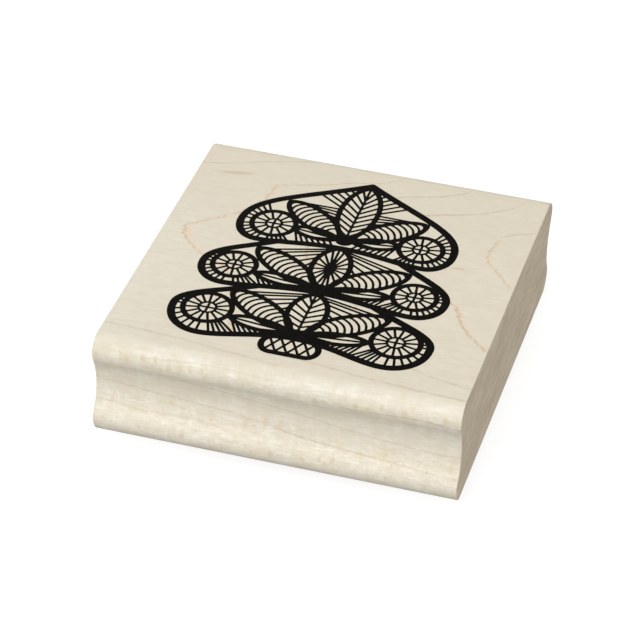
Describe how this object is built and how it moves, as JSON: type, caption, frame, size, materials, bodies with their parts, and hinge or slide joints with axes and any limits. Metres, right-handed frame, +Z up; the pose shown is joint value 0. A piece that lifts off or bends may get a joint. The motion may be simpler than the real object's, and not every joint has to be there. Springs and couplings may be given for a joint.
{
  "type": "rubber stamp",
  "caption": "Wood-mounted craft stamp: grooved maple block with an inked index print on top and a foam-backed rubber die below.",
  "frame": {"origin": "middle of the printing plane, the die's raised picture being the lowest surface", "axes": "+Z up from the printing plane to the index print, X along the wood's grain between the sawn ends, Y between the grooved edges, with the picture's foot towards -Y"},
  "size_m": [0.0636, 0.0688, 0.0233],
  "materials": {
    "maple": "sanded, unfinished",
    "ink": "matte dry film",
    "adhesive_film": "satin",
    "foam": "matte closed-cell foam",
    "die_rubber": "matte moulded rubber"
  },
  "bodies": {
    "root": {"wood_mount": "maple", "index_print": "ink", "mount_tape": "adhesive_film", "foam_cushion": "foam", "die_tape": "adhesive_film", "rubber_die": "die_rubber"}
  },
  "joints": []
}
